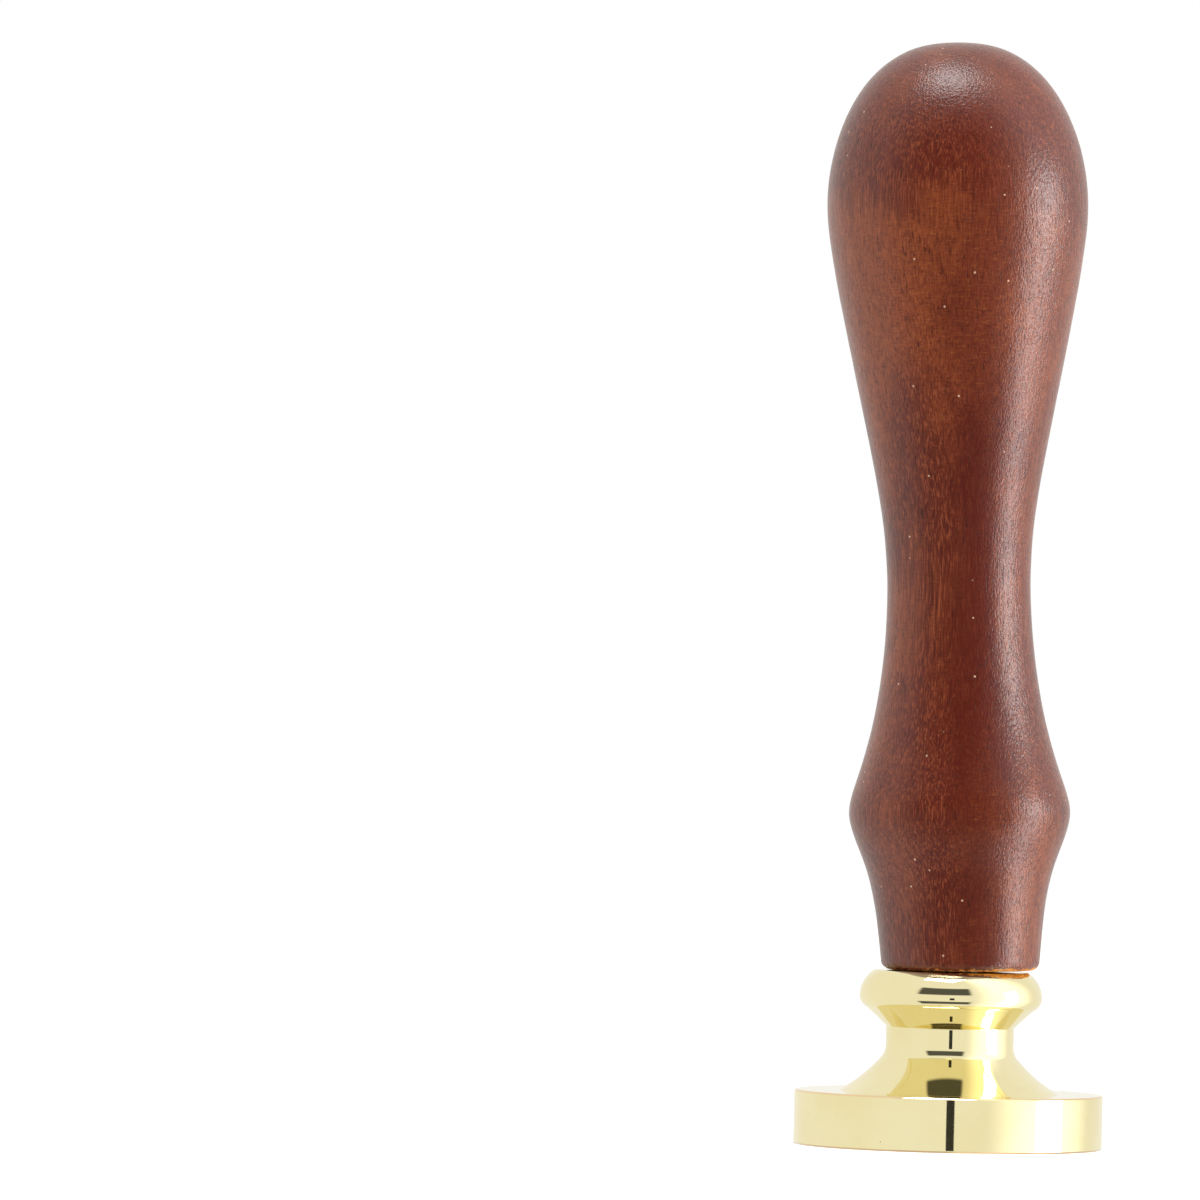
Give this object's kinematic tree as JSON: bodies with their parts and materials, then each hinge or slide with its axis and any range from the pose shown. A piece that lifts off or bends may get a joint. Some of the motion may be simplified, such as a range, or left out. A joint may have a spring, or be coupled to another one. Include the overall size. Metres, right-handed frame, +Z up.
{
  "type": "wax seal stamp",
  "caption": "Wax seal stamp: a turned wooden grip with a swelling head, screwed onto a polished brass die with a beaded collar and an engraved round face.",
  "frame": {"origin": "centre of the die's face, which the stamp stands on", "axes": "+Z up along the die's axis and the bolt's, towards the grip; +X towards the side that the grip's foot is offset to"},
  "size_m": [0.025, 0.025, 0.0892],
  "materials": {
    "brass": "polished, with fine turning lines",
    "steel": "bright zinc plated",
    "wood": "red mahogany stain under satin lacquer"
  },
  "bodies": {
    "brass_head": {"brass_head": "brass"},
    "hanger_bolt": {"hanger_bolt": "steel"},
    "handle": {"handle": "wood"}
  },
  "joints": [
    {"name": "unscrew_lift", "type": "slide", "parent": "brass_head", "child": "hanger_bolt", "axis": [0, 0, 1], "range_m": [0, 0.008]},
    {"name": "unscrew_turn", "type": "hinge", "parent": "hanger_bolt", "child": "handle", "pos_m": [0, 0, 0.0142], "axis": [0, 0, 1], "range_deg": [0, 2880]}
  ],
  "couplings": [
    {"joint": "unscrew_lift", "follows": "unscrew_turn", "m_per_rad": 0.00015915}
  ]
}
